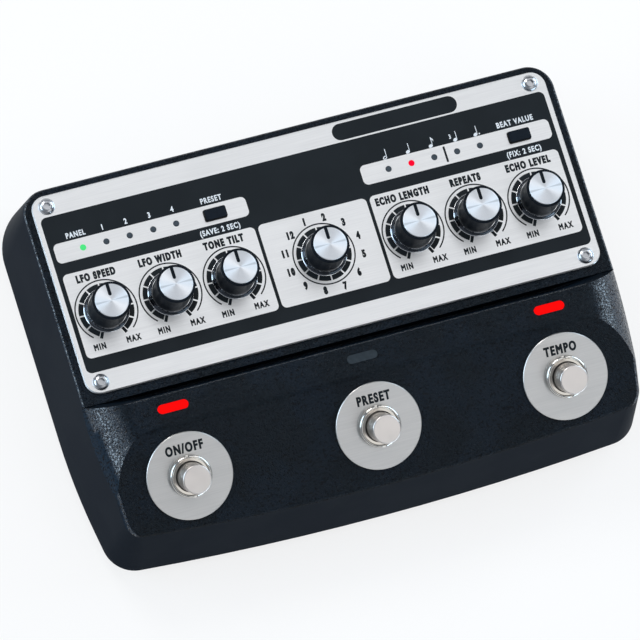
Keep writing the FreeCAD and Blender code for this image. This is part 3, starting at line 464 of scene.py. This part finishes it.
def ink(name, color, other, roughness=0.38):
    """Screen-printed ink with a slight orange peel."""
    paint = Paint(name, color, roughness, specular=0.12)
    where = paint.place()
    peel = paint.noise(where, 900.0, 3.0)
    paint.set("Roughness", paint.spread(peel, 0.3, 0.7, roughness * 0.9, roughness * 1.15))
    paint.set("Normal", paint.bump(peel, 0.004 * MM, 0.4))
    return paint.drift(color, other, where, 45.0).material


def finishes():
    """One material for each slot of the record: each slot's maker and what it takes."""
    red = (1.0, 0.0, 0.0)
    green = (0.08, 0.82, 0.24)
    rose = (1.0, 0.0, 0.03)
    deck = Vector(JOINTS["left_stomp"]["axis"])
    up_slope = deck.cross(Vector((1, 0, 0)))
    slots = {
        "case_paint": (case_paint,),
        "plate_steel": (moulded, (0.010, 0.011, 0.012), (0.014, 0.015, 0.016), 0.42, 700.0),
        "screw_steel": (polished, (0.50, 0.50, 0.50), 0.28),
        "screw_chrome": (polished, (0.52, 0.53, 0.55), 0.17),
        "foot_rubber": (moulded, (0.012, 0.012, 0.012), (0.018, 0.018, 0.018), 0.75, 500.0, 0.06 * MM),
        "panel_aluminium": (brushed, (0.865, 0.868, 0.87), (0.81, 0.813, 0.815), 0.35, 0.72, (0, 1, 0)),
        "lens": (glowing_lens, (0.027, 0.034, 0.040), ((-0.065, red), (0.065, red)), 0.008),
        "led": (glowing_lens, (0.05, 0.06, 0.07), ((-0.0764, green), (0.0373, rose)), 0.002),
        "washer_steel": (brushed, (0.60, 0.59, 0.575), (0.56, 0.55, 0.535), 0.36, 0.5, up_slope),
        "nut_chrome": (polished, (0.70, 0.68, 0.64), 0.08, 0.15, 0.0),
        "plunger_steel": (polished, (0.71, 0.665, 0.63), 0.28, 0.06),
        "switch_housing": (switch_parts,),
        "board": (moulded, (0.012, 0.10, 0.04), (0.016, 0.13, 0.05), 0.35, 600.0),
        "standoff_brass": (polished, (0.62, 0.45, 0.19), 0.25),
        "chip": (moulded, (0.012, 0.012, 0.013), (0.02, 0.02, 0.02), 0.55),
        "capacitor": (moulded, (0.012, 0.018, 0.07), (0.018, 0.024, 0.09), 0.3),
        "ribbon": (moulded, (0.32, 0.33, 0.35), (0.40, 0.41, 0.43), 0.5),
        "jack_plastic": (moulded, (0.010, 0.010, 0.011), (0.016, 0.016, 0.017), 0.38, 800.0),
        "knob_plastic": (moulded, (0.0045, 0.007, 0.0105), (0.0068, 0.0098, 0.014), 0.38, 1500.0,
                         0.01 * MM, 0.06),
        # Skirt: a painted dark reflection with painted highlights on its lip and crest
        "skirt_chrome": (flared, (0.09, 0.10, 0.115), (0.86, 0.87, 0.88), 0.07),
        "cap_aluminium": (spun, (0.80, 0.825, 0.86), 0.46, 0.75),
        "shaft_steel": (polished, (0.55, 0.55, 0.55), 0.25),
        # Buttons: a face colour, and a flank colour that is painted shade
        "button_plastic": (keycap, (0.0085, 0.0120, 0.0170), (0.0008, 0.0010, 0.0014)),
    }
    return {slot: make(slot, *settings) for slot, (make, *settings) in slots.items()}


def dress_frame(finish):
    """Gives every carried-over node the finish of its slot in the record."""
    for part in frame["record"]["subparts"]:
        for slot in NODES[part["node"]].material_slots:
            slot.material = finish[part["material_slot"]]


def circle_points(u, v, r, start=0.0, end=360.0, steps=64):
    """Points along an arc, in degrees from the u axis; a full circle doesn't repeat its first point."""
    count = steps if end - start >= 360 else steps + 1
    angles = [math.radians(start + (end - start) * i / steps) for i in range(count)]
    return [(u + r * math.cos(a), v + r * math.sin(a)) for a in angles]


def rounded(u0, u1, v0, v1, r):
    """A rectangle with round corners."""
    corners = ((u1 - r, v1 - r, 0), (u0 + r, v1 - r, 90), (u0 + r, v0 + r, 180), (u1 - r, v0 + r, 270))
    return [p for u, v, turn in corners for p in circle_points(u, v, r, turn, turn + 90, 8)]


def arc_band(u, v, r_in, r_out, start, end, gap=0.0):
    """A stretch of a ring, with parallel gaps of a given width between stretches."""
    cut_in = math.degrees(math.asin(gap / 2 / r_in))
    cut_out = math.degrees(math.asin(gap / 2 / r_out))
    steps = max(6, int((end - start) / 3))
    outer = circle_points(u, v, r_out, start + cut_out, end - cut_out, steps)
    inner = circle_points(u, v, r_in, start + cut_in, end - cut_in, steps)
    return outer + inner[::-1]


def spoke(u, v, angle, width, r_in, r_out):
    """A short radial bar."""
    a = math.radians(angle)
    along = Vector((math.cos(a), math.sin(a)))
    across = Vector((-along.y, along.x)) * width / 2
    middle = Vector((u, v))
    corners = (along * r_in + across, along * r_out + across, along * r_out - across, along * r_in - across)
    return [tuple(middle + corner) for corner in corners]


def on_plate(layer=0):
    """Where panel printing lies; a higher layer lies on the ink below it."""
    return Matrix.Translation(PLATE_MIDDLE + Vector((0, 0, layer * INK_T * MM)))


def washer_face(side):
    """The middle of a footswitch washer's top face."""
    normal = Vector(JOINTS[side + "_stomp"]["axis"])
    across = Vector((1, 0, 0))
    up_slope = normal.cross(across)
    low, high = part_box(side + "_plunger")
    points = [vertex.co for vertex in NODES["footswitch_washers"].data.vertices]
    slope_places = [point.dot(up_slope) for point in points]
    face = max(point.dot(normal) for point in points)
    middle_slope = (min(slope_places) + max(slope_places)) / 2
    return across * (low.x + high.x) / 2 + up_slope * middle_slope + normal * face


def on_washer(side):
    """Where a footswitch's label lies, with v up the slope."""
    normal = Vector(JOINTS[side + "_stomp"]["axis"])
    across = Vector((1, 0, 0))
    turn = Matrix((across, normal.cross(across), normal)).transposed().to_4x4()
    return Matrix.Translation(washer_face(side)) @ turn


def mesh_from(curve, place):
    """A mesh from a curve drawn in millimetres, made as thin as ink and laid at its place."""
    holder = link(bpy.data.objects.new(curve.name, curve))
    shape = bpy.data.meshes.new_from_object(holder.evaluated_get(bpy.context.evaluated_depsgraph_get()))
    bpy.data.objects.remove(holder)
    half = max(vertex.co.z for vertex in shape.vertices)
    flatten = Matrix.Diagonal((MM, MM, MM * INK_T / 2 / half, 1))
    shape.transform(place @ flatten @ Matrix.Translation((0, 0, half)))
    shape.shade_flat()
    return shape


def ride_as(name, shape, material, body):
    """Makes a named piece from a mesh and lets it ride on a body."""
    shape.name = name
    shape.materials.clear()
    shape.materials.append(material)
    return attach(link(bpy.data.objects.new(name, shape)), body)


def print_flat(name, outlines, material, place, body="pedal"):
    """Thin printing from closed outlines; an outline inside another is left bare."""
    curve = bpy.data.curves.new(name, "CURVE")
    curve.dimensions = "2D"
    curve.fill_mode = "BOTH"
    curve.extrude = INK_T / 2
    for points in outlines:
        spline = curve.splines.new("POLY")
        spline.points.add(len(points) - 1)
        for point, (u, v) in zip(spline.points, points):
            point.co = (u, v, 0, 1)
        spline.use_cyclic_u = True
    return ride_as(name, mesh_from(curve, place), material, body)


def letters(words, middle_u, middle_v, height, place, style=BOLD):
    """Condensed capitals as a mesh, centred on a point."""
    stretch, weight, spacing = style
    text = bpy.data.curves.new("letters", "FONT")
    text.body = words
    text.align_x = "CENTER"
    text.size = height * (1 - 2 * weight) / CAP_SHARE
    text.space_character = spacing
    text.resolution_u = 5
    holder = link(bpy.data.objects.new("letters", text))
    graph = bpy.context.evaluated_depsgraph_get()
    outline = holder.evaluated_get(graph).to_curve(graph).copy()
    bpy.data.objects.remove(holder)
    outline.transform(Matrix.Diagonal((stretch, 1, 1, 1)))
    outline.bevel_depth = height * weight
    outline.bevel_resolution = 0
    shift = Matrix.Translation((middle_u * MM, (middle_v - height * (0.5 - weight)) * MM, 0))
    return mesh_from(outline, place @ shift)


def join(shapes):
    """One mesh from several."""
    whole = bmesh.new()
    for shape in shapes:
        whole.from_mesh(shape)
        bpy.data.meshes.remove(shape)
    joined = bpy.data.meshes.new("joined")
    whole.to_mesh(joined)
    whole.free()
    return joined


def knob_u(name):
    """A knob's place along the plate, from the cap that it carries."""
    low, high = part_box(name + "_cap")
    return ((low.x + high.x) / 2 - PLATE_MIDDLE.x) / MM


def panel_field(black):
    """The black field with its windows, the badge and the divider between the lamps."""
    outlines = [rounded(*FIELD, FIELD_R)]
    outlines += [rounded(*window, WINDOW_R) for window in KNOB_WINDOWS + LAMP_WINDOWS]
    print_flat("panel_field", outlines, black, on_plate())
    height = BADGE[3] - BADGE[2]
    print_flat("badge", [rounded(*BADGE, height / 2 - 0.01)], black, on_plate())
    u0, u1, v0, v1 = DIVIDER
    print_flat("lamp_divider", [[(u0, v0), (u1, v0), (u1, v1), (u0, v1)]], black, on_plate())


def dial(name, black):
    """The ring of blocks round a knob; the selector's goes all the way round."""
    u = knob_u(name)
    ring_in, ring_out = RING_R - RING_W / 2, RING_R + RING_W / 2
    if name == "selector":
        start, end = 0.0, 360.0
        ring = [circle_points(u, DIAL_V, r, steps=96) for r in (ring_out, ring_in)]
        bars = []
    else:
        start, end = OPEN_BLOCKS
        ring = [arc_band(u, DIAL_V, ring_in, ring_out, *OPEN_ARC)]
        bars = [spoke(u, DIAL_V, angle, END_BAR_W, BLOCK_IN, END_BAR_OUT) for angle in END_BARS]
    count = round((end - start) / STEP)
    blocks = [
        arc_band(u, DIAL_V, BLOCK_IN, BLOCK_OUT, start + STEP * i, start + STEP * (i + 1), BLOCK_GAP)
        for i in range(count)
    ]
    print_flat(name + "_dial", ring + blocks + bars, black, on_plate())


def panel_words(black, white):
    """Black lettering on the metal and white lettering on the black field."""
    place = on_plate()
    dark = []
    for name, title in TITLES.items():
        u = knob_u(name)
        dark.append(letters(title, u, TITLE_V, TITLE_H, place))
        dark.append(letters("MIN", u + MIN_SHIFT, SCALE_V, SCALE_H, place, SCALE))
        dark.append(letters("MAX", u + MAX_SHIFT, SCALE_V, SCALE_H, place, SCALE))
    for i in range(NUMBER_COUNT):
        angle = math.radians(FIRST_NUMBER_ANGLE - STEP * i)
        u, v = NUMBER_RING_U * math.cos(angle), DIAL_V + NUMBER_RING_V * math.sin(angle)
        dark.append(letters(str(i + 1), u, v, TITLE_H, place))
    ride_as("panel_words", join(dark), black, "pedal")
    lines = ((LEFT_LAMPS, LAMP_LABEL_V), (BUTTON_LABELS, LAMP_LABEL_V), (BUTTON_NOTES, BUTTON_NOTE_V))
    light = [
        letters(words, u, v, SMALL_H, on_plate(1), PLAIN)
        for line, v in lines
        for words, u in line.items()
    ]
    ride_as("lamp_words", join(light), white, "pedal")


def tilted_oval(u, v, half_axes):
    """The outline of a note's head or of the hole in it."""
    tilt = math.radians(NOTE_TILT)
    a, b = half_axes
    level = [(a * x, b * y) for x, y in circle_points(0, 0, 1.0, steps=28)]
    return [
        (u + x * math.cos(tilt) - y * math.sin(tilt), v + x * math.sin(tilt) + y * math.cos(tilt))
        for x, y in level
    ]


def note(u, v, hollow=False, flag=False, dot=False):
    """Outlines of a note with its stem up: a head, open or filled, and a flag or a dot if it has one."""
    stem_u = u + STEM_U
    left, right = stem_u + STEM_LEFT, stem_u + STEM_RIGHT
    foot, top = v + STEM_FOOT, v + STEM_TOP
    outlines = [tilted_oval(u, v, NOTE_HEAD), [(left, foot), (right, foot), (right, top), (left, top)]]
    if hollow:
        outlines.append(tilted_oval(u, v, NOTE_HOLE))
    if flag:
        outlines.append([(stem_u + along, v + up) for along, up in FLAG])
    if dot:
        outlines.append(circle_points(u + DOT_SHIFT, v, DOT_R, steps=16))
    return outlines


def panel_notes(white):
    """Note values over the right-hand lamps."""
    for i, (lamp_u, (shift, features)) in enumerate(zip(RIGHT_LAMPS, NOTE_VALUES)):
        outlines = note(lamp_u + shift, LAMP_LABEL_V - NOTE_DROP, **features)
        print_flat(f"note_value_{i + 1}", outlines, white, on_plate(1))
    aside, up = TRIPLET_SHIFT
    triplet = letters("3", RIGHT_LAMPS[TRIPLET_LAMP] + aside, LAMP_LABEL_V + up, SMALL_H * TRIPLET_SHARE,
                      on_plate(1), PLAIN)
    ride_as("triplet_mark", triplet, white, "pedal")


def switch_words(black):
    """The labels on the footswitch washers."""
    for side, words in SWITCH_LABELS.items():
        shape = letters(words, 0.0, LABEL_UP_SLOPE, SWITCH_H, on_washer(side), LABEL)
        ride_as(side + "_switch_label", shape, black, "pedal")


def soft_box(name, way, distance, size, radiance, tint=(1.0, 1.0, 1.0)):
    """A rectangular lamp that faces the object; radiance is how bright its face looks."""
    lamp = bpy.data.lights.new(name, "AREA")
    lamp.color = tint
    lamp.shape = "RECTANGLE"
    lamp.size, lamp.size_y = size
    lamp.energy = radiance * math.pi * size[0] * size[1]
    box = link(bpy.data.objects.new(name, lamp))
    away = Vector(way).normalized()
    box.location = LIT_MIDDLE + away * distance
    box.rotation_euler = (-away).to_track_quat("-Z", "Y").to_euler()
    box.visible_camera = False


def studio():
    """Soft boxes over the object, behind it and low in front and on both sides, in a dim room."""
    cool = (0.64, 0.83, 1.0)
    soft_box("overhead", (0.235, 0.208, 0.949), 1.2, (1.0, 0.9), 0.74)
    soft_box("front_box", (0.30, -0.56, 0.77), 1.3, (0.9, 0.6), 0.78)
    soft_box("rear_key", (-0.25, 0.64, 0.73), 1.3, (0.45, 0.45), 8.0)
    soft_box("rear_right_box", (0.60, 0.48, 0.65), 1.3, (0.35, 0.35), 2.5)
    soft_box("left_box", (-0.84, 0.208, 0.50), 1.2, (0.9, 0.6), 4.5, cool)
    soft_box("right_box", (0.88, 0.20, 0.42), 1.2, (0.9, 0.45), 5.0, cool)
    soft_box("low_front_box", (0.50, -0.86, 0.10), 1.2, (0.9, 0.35), 4.5, cool)
    room = bpy.data.worlds.new("room")
    room.use_nodes = True
    room.node_tree.nodes["Background"].inputs["Color"].default_value = (0.25, 0.27, 0.30, 1)
    bpy.context.scene.world = room


def pale_floor():
    """A white floor that keeps the object's shadow, softened where a camera or a reflection sees it."""
    half = 3.0
    corners = [(-half, -half, 0), (half, -half, 0), (half, half, 0), (-half, half, 0)]
    shape = bpy.data.meshes.new("floor")
    shape.from_pydata(corners, [], [(0, 1, 2, 3)])
    material = bpy.data.materials.new("floor")
    material.use_nodes = True
    matt = material.node_tree.nodes["Principled BSDF"]
    matt.inputs["Base Color"].default_value = (0.93, 0.93, 0.93, 1)
    matt.inputs["Roughness"].default_value = 0.9
    matt.inputs["Specular IOR Level"].default_value = 0.2
    tree = material.node_tree
    path = tree.nodes.new("ShaderNodeLightPath")
    seen = path.outputs["Is Camera Ray"]
    for kind in ("Is Glossy Ray", "Is Transmission Ray"):
        either = tree.nodes.new("ShaderNodeMath")
        either.operation = "MAXIMUM"
        tree.links.new(seen, either.inputs[0])
        tree.links.new(path.outputs[kind], either.inputs[1])
        seen = either.outputs[0]
    share = tree.nodes.new("ShaderNodeMath")
    share.operation = "MULTIPLY"
    share.inputs[1].default_value = WHITE_SHARE
    tree.links.new(seen, share.inputs[0])
    white = tree.nodes.new("ShaderNodeEmission")
    blend = tree.nodes.new("ShaderNodeMixShader")
    tree.links.new(share.outputs[0], blend.inputs[0])
    tree.links.new(matt.outputs[0], blend.inputs[1])
    tree.links.new(white.outputs[0], blend.inputs[2])
    tree.links.new(blend.outputs[0], tree.nodes["Material Output"].inputs["Surface"])
    shape.materials.append(material)
    link(bpy.data.objects.new("floor", shape))


def photograph_camera():
    """The camera at the photograph's viewing angle."""
    camera = bpy.data.cameras.new("camera")
    camera.sensor_width = SENSOR
    camera.sensor_height = SENSOR
    camera.lens = LENS
    camera.clip_end = 20.0
    turn = (
        Matrix.Rotation(math.radians(CAMERA_YAW), 4, "Z")
        @ Matrix.Rotation(math.radians(CAMERA_TILT), 4, "X")
        @ Matrix.Rotation(math.radians(CAMERA_ROLL), 4, "Z")
    )
    back = turn @ Vector((0, 0, CAMERA_DISTANCE))
    stand = link(bpy.data.objects.new("camera", camera))
    stand.matrix_world = Matrix.Translation(CAMERA_TARGET + back) @ turn
    bpy.context.scene.camera = stand


photograph_camera()
studio()
pale_floor()
finish = finishes()
dress_frame(finish)
black_ink = ink("black_ink", (0.0085, 0.0118, 0.0145), (0.010, 0.0136, 0.0166))
white_ink = ink("white_ink", (0.78, 0.79, 0.80), (0.72, 0.73, 0.74), 0.5)
panel_field(black_ink)
for knob in KNOB_NAMES:
    dial(knob, black_ink)
panel_words(black_ink, white_ink)
panel_notes(white_ink)
switch_words(black_ink)
bpy.context.scene.view_settings.view_transform = "Standard"
